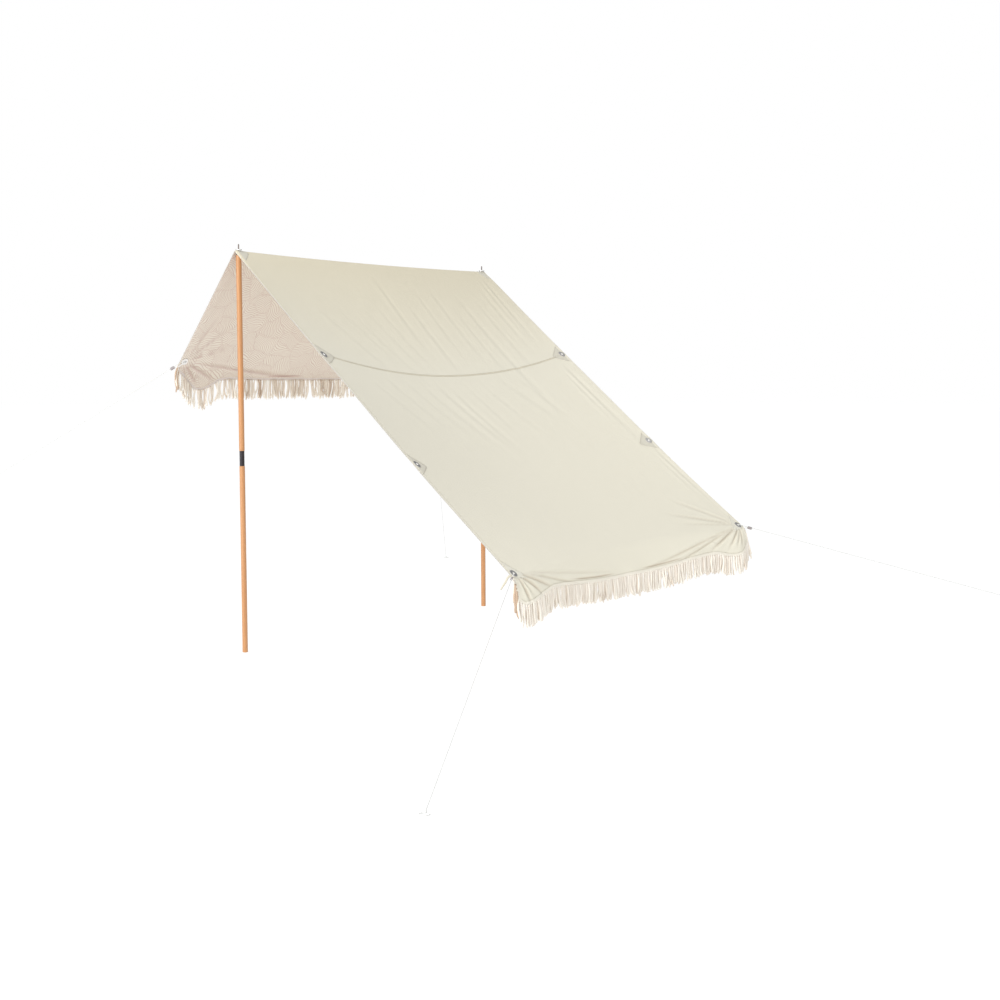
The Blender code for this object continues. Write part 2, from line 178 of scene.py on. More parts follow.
def mixColor(nodes, links, factor, a, b):
    node = nodes.new("ShaderNodeMix")
    node.data_type = "RGBA"
    for socket, value in ((node.inputs[0], factor), (node.inputs[6], a), (node.inputs[7], b)):
        if isinstance(value, (int, float)):
            socket.default_value = value
        elif isinstance(value, tuple):
            socket.default_value = (*value, 1.0)
        else:
            links.new(value, socket)
    return node.outputs[2]


def cutPattern(nodes):
    node = nodes.new("ShaderNodeUVMap")
    node.uv_map = "cut"
    return node.outputs[0]


def newGroup(name, inputs, outputs):
    group = bpy.data.node_groups.new(name, "ShaderNodeTree")
    for label, kind, value in inputs:
        socket = group.interface.new_socket(name=label, in_out="INPUT", socket_type=kind)
        if value is not None:
            socket.default_value = value
    for label in outputs:
        group.interface.new_socket(name=label, in_out="OUTPUT", socket_type="NodeSocketFloat")
    return group, group.nodes, group.links, group.nodes.new("NodeGroupInput"), group.nodes.new("NodeGroupOutput")


def useGroup(nodes, links, group, **values):
    node = nodes.new("ShaderNodeGroup")
    node.node_tree = group
    for key, value in values.items():
        if isinstance(value, (int, float)):
            node.inputs[key].default_value = value
        else:
            links.new(value, node.inputs[key])
    return node


def bumpChain(nodes, links, shader, parts):
    normal = None
    for height, strength, distance in parts:
        bump = addNode(nodes, "ShaderNodeBump", Strength=strength, Distance=distance)
        links.new(height, bump.inputs["Height"])
        if normal is not None:
            links.new(normal, bump.inputs["Normal"])
        normal = bump.outputs[0]
    links.new(normal, shader.inputs["Normal"])


# Plain weave: the product of two crossed sine ridges, Turn is radians of sine for each metre
def makeWeave():
    group, nodes, links, start, end = newGroup(
        "weave", [("Vector", "NodeSocketVector", None), ("Turn", "NodeSocketFloat", 3600.0)], ["Height", "Fleck"])
    split = nodes.new("ShaderNodeSeparateXYZ")
    links.new(start.outputs["Vector"], split.inputs[0])
    x = calc(nodes, links, "MULTIPLY", split.outputs[0], start.outputs["Turn"])
    y = calc(nodes, links, "MULTIPLY", split.outputs[1], start.outputs["Turn"])
    warp = calc(nodes, links, "ABSOLUTE", calc(nodes, links, "SINE", x))
    weft = calc(nodes, links, "ABSOLUTE", calc(nodes, links, "SINE", y))
    over = calc(nodes, links, "MULTIPLY", calc(nodes, links, "COSINE", x), calc(nodes, links, "COSINE", y))
    links.new(calc(nodes, links, "MULTIPLY_ADD", over, 0.3, calc(nodes, links, "MULTIPLY", warp, weft)), end.inputs["Height"])
    fleck = addNode(nodes, "ShaderNodeTexNoise", Scale=900.0, Detail=2.0)
    links.new(start.outputs["Vector"], fleck.inputs["Vector"])
    links.new(fleck.outputs[0], end.inputs["Fleck"])
    return group


# Small creases: three sizes of noise added up, the first two drawn out along the cloth
def makeCreases():
    group, nodes, links, start, end = newGroup("creases", [("Vector", "NodeSocketVector", None)], ["Height", "Blotch"])
    total = None
    for size, scale, share in (((1.0, 0.18, 1.0), 26.0, 1.0), ((1.0, 0.45, 1.0), 70.0, 0.30), ((1.0, 0.8, 1.0), 9.0, 1.3)):
        place = addNode(nodes, "ShaderNodeMapping", Scale=size)
        links.new(start.outputs["Vector"], place.inputs["Vector"])
        noise = addNode(nodes, "ShaderNodeTexNoise", Scale=scale, Detail=3.0, Roughness=0.5)
        links.new(place.outputs[0], noise.inputs["Vector"])
        part = calc(nodes, links, "MULTIPLY", noise.outputs[0], share)
        total = part if total is None else calc(nodes, links, "ADD", total, part)
    links.new(total, end.inputs["Height"])
    blotch = addNode(nodes, "ShaderNodeTexNoise", Scale=3.5, Detail=4.0, Roughness=0.6)
    links.new(start.outputs["Vector"], blotch.inputs["Vector"])
    links.new(blotch.outputs[0], end.inputs["Blotch"])
    return group


weave = makeWeave()
creases = makeCreases()


# Canvas: two close tones in blotches, paler down the cloth between two distances as painted light (the lower cloth lit
# brighter), and drawn to a tan by the mesh's own value for its fold valleys as painted shade
def clothMaterial(name, light, dark, creaseDepth=0.0016, sheen=0.12, paintedLightTone=None, paintedLightStart=0.0, paintedLightStop=1.0):
    mat, nodes, links, shader = newMaterial(name)
    uv = cutPattern(nodes)
    threads = useGroup(nodes, links, weave, Vector=uv, Turn=3600.0)
    folds = useGroup(nodes, links, creases, Vector=uv)
    tone = mixColor(nodes, links, folds.outputs["Blotch"], dark, light)
    # painted light: the tone turns paler down the cloth, towards the given pale tone
    if paintedLightTone:
        split = nodes.new("ShaderNodeSeparateXYZ")
        links.new(uv, split.inputs[0])
        down = nodes.new("ShaderNodeMapRange")
        down.inputs["From Min"].default_value = paintedLightStart
        down.inputs["From Max"].default_value = paintedLightStop
        links.new(split.outputs[1], down.inputs["Value"])
        tone = mixColor(nodes, links, down.outputs[0], tone, paintedLightTone)
    # painted shade: the canvas drawn to a tan in the fold valleys by the mesh's valley value
    valleyShade = addNode(nodes, "ShaderNodeAttribute", attribute_name="valleyShade").outputs["Fac"]
    tone = mixColor(nodes, links, valleyShade, tone, (0.60, 0.52, 0.41))
    spot = calc(nodes, links, "MULTIPLY", threads.outputs["Fleck"], 0.08)
    links.new(mixColor(nodes, links, spot, tone, tuple(c * 0.8 for c in dark)), shader.inputs["Base Color"])
    shader.inputs["Roughness"].default_value = 0.92
    shader.inputs["Specular IOR Level"].default_value = 0.25
    shader.inputs["Sheen Weight"].default_value = sheen
    shader.inputs["Sheen Roughness"].default_value = 0.5
    bumpChain(nodes, links, shader, [
        (folds.outputs["Height"], 0.5, creaseDepth),
        (threads.outputs["Height"], 0.35, 0.0004),
    ])
    return mat


# Lining print: bowed hatching in each cell of a random grid, every cell turned and spaced its own way, and the
# whole drawn out of true by a slow noise
def printMaterial():
    hatch = dict(cell=0.088, bow=9.0, spacing=0.0068, spread=0.0032, line=0.0023, gap=0.0020, rim=0.0015,
                 ground=((0.795, 0.742, 0.648), (0.852, 0.802, 0.708)), ink=(0.600, 0.455, 0.400),
                 warpScale=11.0, warp=0.045)
    mat, nodes, links, shader = newMaterial("liningPrint")
    flat = cutPattern(nodes)
    m = lambda *a: calc(nodes, links, *a)
    drift = addNode(nodes, "ShaderNodeTexNoise", noise_dimensions="2D", Scale=hatch["warpScale"], Detail=1.0)
    links.new(flat, drift.inputs["Vector"])
    moved = nodes.new("ShaderNodeVectorMath")
    moved.operation = "MULTIPLY_ADD"
    links.new(drift.outputs["Color"], moved.inputs[0])
    moved.inputs[1].default_value = (hatch["warp"],) * 3
    links.new(flat, moved.inputs[2])
    uv = moved.outputs[0]
    cells = addNode(nodes, "ShaderNodeTexVoronoi", voronoi_dimensions="2D", Scale=1.0 / hatch["cell"], Randomness=0.8)
    links.new(uv, cells.inputs["Vector"])
    border = addNode(nodes, "ShaderNodeTexVoronoi", voronoi_dimensions="2D", feature="DISTANCE_TO_EDGE",
                     Scale=1.0 / hatch["cell"], Randomness=0.8)
    links.new(uv, border.inputs["Vector"])
    offset = nodes.new("ShaderNodeVectorMath")
    offset.operation = "SUBTRACT"
    links.new(uv, offset.inputs[0])
    links.new(cells.outputs["Position"], offset.inputs[1])
    local = nodes.new("ShaderNodeSeparateXYZ")
    links.new(offset.outputs[0], local.inputs[0])
    chance = nodes.new("ShaderNodeSeparateColor")
    links.new(cells.outputs["Color"], chance.inputs[0])
    turn = m("MULTIPLY", chance.outputs[0], 2 * math.pi)
    cosTurn, sinTurn = m("COSINE", turn), m("SINE", turn)
    x = m("ADD", m("MULTIPLY", local.outputs[0], cosTurn), m("MULTIPLY", local.outputs[1], sinTurn))
    y = m("SUBTRACT", m("MULTIPLY", local.outputs[1], cosTurn), m("MULTIPLY", local.outputs[0], sinTurn))
    bow = m("MULTIPLY", m("SUBTRACT", chance.outputs[1], 0.5), hatch["bow"])
    row = m("ADD", y, m("MULTIPLY", bow, m("MULTIPLY", x, x)))
    spacing = m("MULTIPLY_ADD", chance.outputs[2], hatch["spread"], hatch["spacing"])
    off = m("MULTIPLY", m("ABSOLUTE", m("SUBTRACT", m("FRACT", m("DIVIDE", row, spacing)), 0.5)), spacing)
    edge = m("MULTIPLY", border.outputs["Distance"], hatch["cell"])
    hatchInk = m("MULTIPLY", m("LESS_THAN", off, hatch["line"] / 2), m("GREATER_THAN", edge, hatch["gap"]))
    rimInk = m("LESS_THAN", m("ABSOLUTE", m("SUBTRACT", edge, hatch["gap"])), hatch["rim"] / 2)
    folds = useGroup(nodes, links, creases, Vector=flat)
    threads = useGroup(nodes, links, weave, Vector=flat, Turn=3600.0)
    ground = mixColor(nodes, links, folds.outputs["Blotch"], *hatch["ground"])
    faded = m("MULTIPLY", m("MAXIMUM", hatchInk, rimInk), m("MULTIPLY_ADD", threads.outputs["Fleck"], 0.4, 0.6))
    # painted shade: the print drawn to a pink-brown in the fold valleys
    valleyShade = m("MULTIPLY", addNode(nodes, "ShaderNodeAttribute", attribute_name="valleyShade").outputs["Fac"], 0.85)
    printed = mixColor(nodes, links, faded, ground, hatch["ink"])
    links.new(mixColor(nodes, links, valleyShade, printed, (0.53, 0.375, 0.335)), shader.inputs["Base Color"])
    shader.inputs["Roughness"].default_value = 0.92
    shader.inputs["Specular IOR Level"].default_value = 0.25
    bumpChain(nodes, links, shader, [(folds.outputs["Height"], 0.5, 0.002), (threads.outputs["Height"], 0.35, 0.0004)])
    return mat


# Twisted cotton: ridges slanted round the strand, drawn to the groove tone along the twist as painted shade of the
# plies, and tinted by the strand's own tint
def cottonMaterial(name, shade, light, groove):
    mat, nodes, links, shader = newMaterial(name)
    split = nodes.new("ShaderNodeSeparateXYZ")
    links.new(cutPattern(nodes), split.inputs[0])
    tint = addNode(nodes, "ShaderNodeAttribute", attribute_name="tint")
    tone = mixColor(nodes, links, tint.outputs["Fac"], shade, light)
    around = calc(nodes, links, "MULTIPLY", split.outputs[0], 4 * math.pi)
    twist = calc(nodes, links, "SINE", calc(nodes, links, "MULTIPLY_ADD", split.outputs[1], 75.0, around))
    depth = calc(nodes, links, "MULTIPLY_ADD", twist, 0.09, 0.09)
    links.new(mixColor(nodes, links, depth, tone, groove), shader.inputs["Base Color"])
    shader.inputs["Roughness"].default_value = 0.95
    shader.inputs["Specular IOR Level"].default_value = 0.2
    shader.inputs["Sheen Weight"].default_value = 0.25
    bumpChain(nodes, links, shader, [(twist, 0.6, 0.0006)])
    return mat


# outer canvas: paler from the ridge to 0.60 m down the slope, painted light on the lower cloth
outerCanvas = clothMaterial("outerCanvas", (0.802, 0.740, 0.575), (0.772, 0.710, 0.545), paintedLightTone=(0.848, 0.812, 0.684),
                            paintedLightStop=0.60)
# painted shade: a darker copy of the canvas on the sheet's edge and hole walls, for the hem's edge seen in shade
shadedHemCanvas = clothMaterial("shadedHemCanvas", (0.50, 0.475, 0.44), (0.465, 0.44, 0.405), creaseDepth=0.001)
seamCloth = clothMaterial("seamCloth", (0.81, 0.75, 0.60), (0.76, 0.705, 0.555), creaseDepth=0.001)
headerTape = clothMaterial("headerTape", (0.93, 0.885, 0.775), (0.88, 0.83, 0.72), creaseDepth=0.001)
# painted shade: a darker, lilac copy of the header tape for its under side, seen in shade
shadedTapeBack = clothMaterial("shadedTapeBack", (0.80, 0.735, 0.70), (0.74, 0.68, 0.645), creaseDepth=0.001)
# patch cloth: paler from 1.35 to 1.75 m down, painted light on the low corner patches
patchCloth = clothMaterial("patchCloth", (0.730, 0.696, 0.592), (0.695, 0.664, 0.565), paintedLightTone=(0.81, 0.785, 0.68),
                           paintedLightStart=1.35, paintedLightStop=1.75)
liningPrint = printMaterial()
fringeCotton = cottonMaterial("fringeCotton", (0.50, 0.365, 0.26), (0.985, 0.945, 0.86), (0.84, 0.70, 0.56))
stitchThread = cottonMaterial("stitchThread", (0.56, 0.52, 0.42), (0.68, 0.635, 0.52), (0.50, 0.455, 0.36))
print("cloth materials ready")


# ---- mesh helper
def addPiece(name, verts, faces, mats, body="canopy", uv=None, slots=None, attributes=None):
    mesh = bpy.data.meshes.new(name)
    mesh.from_pydata((np.asarray(verts, float) + frameShift).tolist(), [], faces)
    for mat in mats:
        mesh.materials.append(mat)
    if slots is not None:
        mesh.polygons.foreach_set("material_index", np.asarray(slots, np.int32))
    mesh.polygons.foreach_set("use_smooth", np.ones(len(mesh.polygons), bool))
    if uv is not None:
        layer = mesh.uv_layers.new(name="cut")
        loop = np.empty(len(mesh.loops), np.int32)
        mesh.loops.foreach_get("vertex_index", loop)
        layer.data.foreach_set("uv", np.asarray(uv, np.float32)[loop].ravel())
    for key, values in (attributes or {}).items():
        made = mesh.attributes.new(key, "FLOAT", "POINT")
        made.data.foreach_set("value", np.asarray(values, np.float32))
    item = bpy.data.objects.new(name, mesh)
    bpy.context.scene.collection.objects.link(item)
    if body:
        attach(item, body)
    return item


def smoothStep(a, b, x):
    t = np.clip((x - a) / (b - a), 0.0, 1.0)
    return t * t * (3 - 2 * t)


# ---- shape of the cloth, as in the CAD: x along the ridge, dist down the slope, negative at the back
def across(x):
    return (x + canopy["halfSpan"]) / (2.0 * canopy["halfSpan"])


def arch(t):
    return np.clip(4.0 * t * (1.0 - t), -0.2, 1.0)


def ridgePoint(x):
    z = canopy["ridgeHeight"] + canopy["ridgeRaise"] - canopy["ridgeSag"] * arch(across(x))
    return np.stack([x, np.zeros_like(x), z], -1)


# Edge line: a straight run between the corner eyelets, drawn in and let down by one parabola
def linePoint(x, reach, height, sign):
    t = across(x)
    y = sign * (reach[0] + (reach[1] - reach[0]) * t - canopy["lineCurve"] * arch(t))
    z = height[0] + (height[1] - height[0]) * t - canopy["lineDroop"] * arch(t)
    return np.stack([x, y, z], -1)


# A slope is the straight line from ridge to edge line, less a parabola of sag and a droop of the ridge's ends
def slopePoint(x, share, front):
    if front:
        low = linePoint(x, canopy["frontReach"], canopy["frontHeight"], -1.0)
        sag = canopy["frontSagSide"] + canopy["frontSagMiddle"] * arch(across(x))
    else:
        low = linePoint(x, canopy["backReach"], canopy["backHeight"], 1.0)
        sag = canopy["backSag"] * np.ones_like(x)
    top = ridgePoint(x)
    point = top + (low - top) * share[..., None]
    past = np.maximum(np.abs(x) - canopy["halfSpan"] - canopy["endFlat"], 0.0) / (canopy["overhang"] - canopy["endFlat"])
    droop = canopy["endDroop"] * past ** 2 * np.exp(-share * (canopy["endFade"] if front else 4.0))
    point[..., 2] -= sag * 4.0 * share * (1.0 - share) + droop
    return point


frontLength = math.hypot(canopy["frontReach"][0], canopy["ridgeHeight"] - canopy["frontHeight"][0])
backLength = math.hypot(canopy["backReach"][0], canopy["ridgeHeight"] - canopy["backHeight"][0])
frontEnd, backEnd = frontLength + canopy["creasePast"], backLength + canopy["creasePast"]


# Both slopes, with their meeting at the ridge rounded by two quarter parabolas
def slopesPoint(x, dist):
    r = canopy["ridgeRound"]
    plain = np.where((dist >= 0.0)[..., None],
                     slopePoint(x, np.maximum(dist, 0.0) / frontLength, True),
                     slopePoint(x, np.maximum(-dist, 0.0) / backLength, False))
    step = r * np.ones_like(dist)
    top = ridgePoint(x)
    downFront = (slopePoint(x, step / frontLength, True) - top) / r
    downBack = (slopePoint(x, step / backLength, False) - top) / r
    near = np.clip(dist, -r, r)
    rounded = (top + downFront * ((r + near) ** 2 / (4 * r))[..., None]
               + downBack * ((r - near) ** 2 / (4 * r))[..., None])
    return np.where((np.abs(dist) < r)[..., None], rounded, plain)


# Flap settings: depth by distance from the left or right side edge, and how fast the cloth turns down
flap = dict(
    frontLeft=((0.0, 0.085), (0.03, 0.106), (0.06, 0.106), (0.095, 0.098), (0.161, 0.077), (0.244, 0.054), (0.343, 0.048),
               (0.55, 0.051), (0.822, 0.050)),
    frontRight=((0.0, 0.065), (0.03, 0.096), (0.072, 0.114), (0.12, 0.112), (0.158, 0.102), (0.20, 0.088), (0.234, 0.076),
                (0.306, 0.067), (0.42, 0.061), (0.62, 0.058), (0.822, 0.050)),
    back=((0.0, 0.030), (0.02, 0.040), (0.072, 0.081), (0.109, 0.108), (0.152, 0.108), (0.191, 0.092), (0.234, 0.066),
          (0.293, 0.056), (0.40, 0.055), (0.822, 0.051)),
    turnOver=0.050, edgeTurn=0.030, hang=82.0, early=0.085,
)


# Depth: straight runs between the settings, smoothed by a 30 mm bell
def flapDrop(x, front):
    fine = np.linspace(-sideEdge - 0.01, sideEdge + 0.01, 833)
    edge = np.maximum(sideEdge - np.abs(fine), 0.0)
    left, right = (np.array(flap[name]) for name in (("frontLeft", "frontRight") if front else ("back", "back")))
    raw = np.where(fine < 0.0, np.interp(edge, left[:, 0], left[:, 1]), np.interp(edge, right[:, 0], right[:, 1]))
    kernel = np.hanning(15)
    soft = np.convolve(np.pad(raw, 7, mode="edge"), kernel / kernel.sum(), "valid")
    return np.interp(x, fine, soft)


# Turning cloth: the slope's angle nears hanging by an exponential; its cosine and sine are summed along the cloth
def flapOffset(q, first, turnOver):
    nodes, weights = np.polynomial.legendre.leggauss(12)
    last = math.radians(flap["hang"])
    angle = last - (last - first)[..., None] * np.exp(-q[..., None] * (nodes + 1) / 2 / turnOver[..., None])
    return (np.cos(angle) * weights).sum(-1) * q / 2, (np.sin(angle) * weights).sum(-1) * q / 2


# The cloth turns down past the crease line, which lies higher up between the corners of the long slope
def plainCloth(x, dist):
    front = dist >= 0.0
    early = flap["early"] * np.maximum(arch(across(x)), 0.0)
    crease = np.where(front, frontEnd - early, -backEnd)
    q = np.maximum(np.abs(dist) - np.abs(crease), 0.0)
    point = slopesPoint(x, np.where(q > 0.0, crease, dist))
    step = slopesPoint(x, crease) - slopesPoint(x, crease - 0.002 * np.sign(crease))
    turnOver = flap["turnOver"] - flap["edgeTurn"] * (1.0 - smoothStep(0.0, 0.075, sideEdge - np.abs(x)))
    out, down = flapOffset(q, np.arctan2(-step[..., 2], np.abs(step[..., 1])), turnOver)
    point[..., 1] += np.where(front, -out, out)
    point[..., 2] -= down
    return point


# ---- folds: slope rows are x, distance, heading, length, width and strength; rays leave a corner eyelet,
# as heading from the ridge's direction towards the hem, length, width and height; creases run above the hem
fold = dict(
    slope=((-0.60, 0.24, 58.0, 0.50, 0.013, 0.8), (-0.46, 0.22, 62.0, 0.46, 0.011, 0.5), (-0.36, 0.30, 64.0, 0.44, 0.012, 0.6),
           (-0.26, 0.26, 70.0, 0.42, 0.011, 0.5), (-0.17, 0.22, 76.0, 0.42, 0.010, 0.5), (-0.05, 0.06, 88.0, 0.50, 0.012, 0.8),
           (0.06, 0.20, 88.0, 0.46, 0.012, 0.8), (0.17, 0.12, 89.0, 0.48, 0.010, 0.5), (0.28, 0.10, 88.0, 0.52, 0.011, 0.6),
           (0.36, 0.22, 88.0, 0.50, 0.010, 0.6), (0.445, 0.12, 87.5, 0.95, 0.014, 1.0), (0.56, 0.16, 89.0, 0.60, 0.011, 0.6),
           (0.66, 0.10, 91.0, 0.50, 0.011, 0.6), (-0.62, 0.64, 56.0, 0.42, 0.013, 0.9), (-0.50, 0.60, 59.0, 0.44, 0.012, 0.8),
           (-0.38, 0.60, 62.0, 0.46, 0.011, 0.7), (-0.27, 0.62, 65.0, 0.50, 0.012, 0.8), (-0.17, 0.62, 68.0, 0.56, 0.014, 1.2),
           (-0.08, 0.66, 74.0, 0.50, 0.013, 1.2), (0.03, 0.62, 76.0, 0.42, 0.011, 0.7), (0.14, 0.62, 70.0, 0.42, 0.011, 0.7),
           (0.27, 0.60, 61.0, 0.42, 0.012, 0.9), (0.40, 0.62, 70.0, 0.40, 0.011, 0.6), (0.755, 0.02, 93.5, 0.56, 0.011, 1.0),
           (0.715, 0.04, 92.0, 0.50, 0.010, 0.6), (0.757, 0.62, 89.0, 0.60, 0.011, 1.4), (0.722, 0.68, 88.0, 0.45, 0.010, 0.8),
           (0.795, 1.22, 88.5, 0.50, 0.010, 1.0), (0.765, 1.28, 88.0, 0.40, 0.010, 0.6),
           (-0.74, -0.03, -97.0, 0.34, 0.016, -1.3), (-0.66, -0.03, -84.0, 0.36, 0.017, -1.2), (-0.53, -0.04, -77.0, 0.34, 0.018, -1.1),
           (-0.40, -0.12, -60.0, 0.36, 0.018, -1.1), (-0.12, -0.08, -100.0, 0.34, 0.019, -1.0), (0.22, -0.07, -84.0, 0.36, 0.019, -1.0)),
    slopeHeight=0.0017, slopeWide=1.75,
    frontLeft=((3.0, 0.78, 0.007, 0.0020), (8.5, 0.72, 0.0065, 0.0032), (17.0, 0.27, 0.0070, 0.0058), (33.0, 0.19, 0.0075, 0.0075),
               (52.0, 0.14, 0.0065, 0.0030), (69.0, 0.15, 0.0075, 0.0070)),
    frontRight=((-48.0, 0.36, 0.011, 0.0024), (-28.0, 0.42, 0.010, 0.0032), (-17.0, 0.36, 0.009, 0.0022),
                (4.6, 0.82, 0.0065, 0.0034), (8.2, 0.62, 0.0065, 0.0034), (15.5, 0.30, 0.0075, 0.0052), (34.0, 0.18, 0.0070, 0.0048),
                (50.0, 0.14, 0.0065, 0.0030), (67.0, 0.12, 0.0070, 0.0046)),
    back=((5.0, 0.70, 0.010, 0.0045), (24.0, 0.24, 0.009, 0.0050), (48.0, 0.16, 0.009, 0.0055), (72.0, 0.12, 0.0075, 0.0040),
          (-24.0, 0.24, 0.009, 0.0045), (-52.0, 0.24, 0.009, 0.0040), (-76.0, 0.26, 0.009, 0.0030)),
    valleyFull=0.0075,
    crease=((1.0, -0.46, -0.10, 0.0026), (1.0, 0.05, 0.38, 0.0026), (-1.0, -0.34, -0.08, 0.0030)),
    creaseAbove=0.018, creaseWidth=0.0027, swell=0.0022, wave=0.004,
)


# Ray: how strong it is along its length, and the distance from its line as a share of its widening width
def rayAlong(x, dist, place, heading, length, width, inward=1.0, hemward=1.0):
    turn = math.radians(heading)
    dx, dd = (x - place[0]) * inward, (dist - place[1]) * hemward
    share = (dx * math.cos(turn) + dd * math.sin(turn)) / length
    off = dd * math.cos(turn) - dx * math.sin(turn)
    fade = smoothStep(0.02, 0.22, share) * (1.0 - smoothStep(0.50, 1.0, share))
    return fade, off / (width * (0.55 + 0.45 * np.clip(share, 0.0, 1.0)))


def bell(t):
    return np.exp(-t * t)


def eyeletCentres():
    front = [(side * canopy["halfSpan"], share * frontLength) for side in (-1.0, 1.0)
             for share in (*canopy["sideShares"], 1.0)]
    return front + [(side * canopy["halfSpan"], -backLength) for side in (-1.0, 1.0)]


# Slope folds are a bell turned down beside a lower bell; corner rays are narrow valleys between two soft banks.
# With a slow swell and a wave along the hem, on calm cloth at the ridge and the eyelets; the valley value, 0 to 1, is
# painted shade in the ray valleys and the hem creases
def foldParts(x, dist):
    high, valleyShade = np.zeros_like(x), np.zeros_like(x)
    for atX, atDist, heading, length, width, strength in fold["slope"]:
        fade, off = rayAlong(x, dist, (atX, atDist), heading, length, width * fold["slopeWide"])
        high -= fold["slopeHeight"] * strength * fade * (bell(off) - 0.7 * bell(off - 1.6))
    for side, place, way, rays in ((-1.0, frontLength, 1.0, "frontLeft"), (1.0, frontLength, 1.0, "frontRight"),
                                   (-1.0, -backLength, -1.0, "back"), (1.0, -backLength, -1.0, "back")):
        for heading, length, width, height in fold[rays]:
            fade, off = rayAlong(x, dist, (side * canopy["halfSpan"], place), heading, length, width, -side, way)
            high += height * fade * (0.4 * bell((np.abs(off) - 2.1) / 1.2) - bell(off))
            valleyShade += fade * bell(off / 0.9) * height / fold["valleyFull"]
    high += fold["swell"] * np.sin(x * 5.1 + dist * 2.3 + 0.6) * np.sin(dist * 3.7 - x * 1.9 + 1.1)
    past = np.abs(dist) - np.where(dist >= 0, frontEnd, backEnd)
    above = np.where(dist >= 0, flapDrop(x, True), flapDrop(x, False)) - past - fold["creaseAbove"]
    for sign, startX, stopX, height in fold["crease"]:
        along = smoothStep(startX, startX + 0.12, x) * (1.0 - smoothStep(stopX - 0.12, stopX, x)) * (np.sign(dist) == sign)
        high -= height * along * bell(above / fold["creaseWidth"])
        # painted shade along the hem creases, stronger at the back
        valleyShade += (1.4 if sign > 0 else 2.6) * along * bell(above / fold["creaseWidth"])
    wave = np.sin(x * 19.0 + 0.9 * np.sin(x * 8.0) + np.sign(dist)) * 0.6 + np.sin(x * 43.0 + 1.0) * 0.3
    high += fold["wave"] * smoothStep(-0.03, 0.08, past) * wave * smoothStep(0.0, 0.10, sideEdge - np.abs(x))
    calm = smoothStep(0.004, 0.10, np.abs(dist))
    for centreX, centreDist in eyeletCentres():
        calm = calm * smoothStep(0.014, 0.045, np.hypot(x - centreX, dist - centreDist))
    return high * calm, np.clip(valleyShade * calm, 0.0, 1.0)


def foldHeight(x, dist):
    return foldParts(x, dist)[0]


def clothNormal(x, dist):
    small = 0.001
    du = plainCloth(x + small, dist) - plainCloth(x - small, dist)
    dv = plainCloth(x, dist + small) - plainCloth(x, dist - small)
    normal = np.cross(dv, du)
    return normal / np.linalg.norm(normal, axis=-1, keepdims=True)


# The cloth's own point: the plain shape moved along its normal by the folds and by lift
def clothPoint(x, dist, lift=0.0):
    return plainCloth(x, dist) + clothNormal(x, dist) * (foldHeight(x, dist) + lift)[..., None]


def gridFaces(nu, nv, start=0, flip=False, loop=False):
    i, j = np.meshgrid(np.arange(nu if loop else nu - 1), np.arange(nv - 1), indexing="ij")
    k = (i + 1) % nu
    quads = np.stack([i * nv + j, k * nv + j, k * nv + j + 1, i * nv + j + 1], -1).reshape(-1, 4) + start
    return quads[:, ::-1] if flip else quads


def rimLoop(nu, nv):
    return np.concatenate([np.arange(nu) * nv, (nu - 1) * nv + np.arange(1, nv),
                           np.arange(nu - 2, -1, -1) * nv + nv - 1, np.arange(nv - 2, 0, -1)])


def wallFaces(rim, count):
    follow = np.roll(rim, -1)
    return np.stack([rim, follow, follow + count, rim + count], -1)


# Closed sheet: one grid of x and distance at two lifts, joined round its rim, or round both rims of a ring
def closedSheet(name, x, dist, low, high, mats, slots=(0, 0, 0), ring=False, holes=None, attributes=None):
    nu, nv = x.shape
    count = nu * nv
    verts = np.concatenate([clothPoint(x, dist, high * np.ones_like(x)).reshape(-1, 3),
                            clothPoint(x, dist, low * np.ones_like(x)).reshape(-1, 3)])
    if ring:
        walls = [wallFaces(np.arange(nu) * nv, count), wallFaces(np.arange(nu)[::-1] * nv + nv - 1, count)]
    else:
        walls = [wallFaces(rimLoop(nu, nv), count)]
    keep = np.ones((nu if ring else nu - 1, nv - 1), bool)
    for iLow, iHigh, jLow, jHigh in holes or []:
        keep[iLow:iHigh, jLow:jHigh] = False
        i, j = np.arange(iLow, iHigh + 1), np.arange(jLow, jHigh + 1)
        rim = np.concatenate([i * nv + jLow, iHigh * nv + j[1:], i[::-1][1:] * nv + jHigh, iLow * nv + j[::-1][1:-1]])
        walls.append(wallFaces(rim[::-1], count))
    top = gridFaces(nu, nv, 0, True, ring)[keep.ravel()]
    under = gridFaces(nu, nv, count, False, ring)[keep.ravel()]
    walls = np.concatenate(walls)
    slotList = np.concatenate([np.full(len(top), slots[0]), np.full(len(under), slots[1]), np.full(len(walls), slots[2])])
    uv = np.stack([x.ravel(), dist.ravel()], -1)
    faces = np.concatenate([top, under, walls]).tolist()
    both = {key: np.tile(values.ravel(), 2) for key, values in (attributes or {}).items()}
    return addPiece(name, verts, faces, mats, uv=np.concatenate([uv, uv]), slots=slotList, attributes=both)


# ---- the cloth itself
cloth = dict(columns=140, edgeColumns=50, edgeZone=0.20, backRows=26, midRows=62, lowRows=26, flapRows=20,
             hemWidth=0.016, hemRise=0.0010,
             hole=0.0085, holeX=0.009, holeDist=0.010, holeReach=2.3)


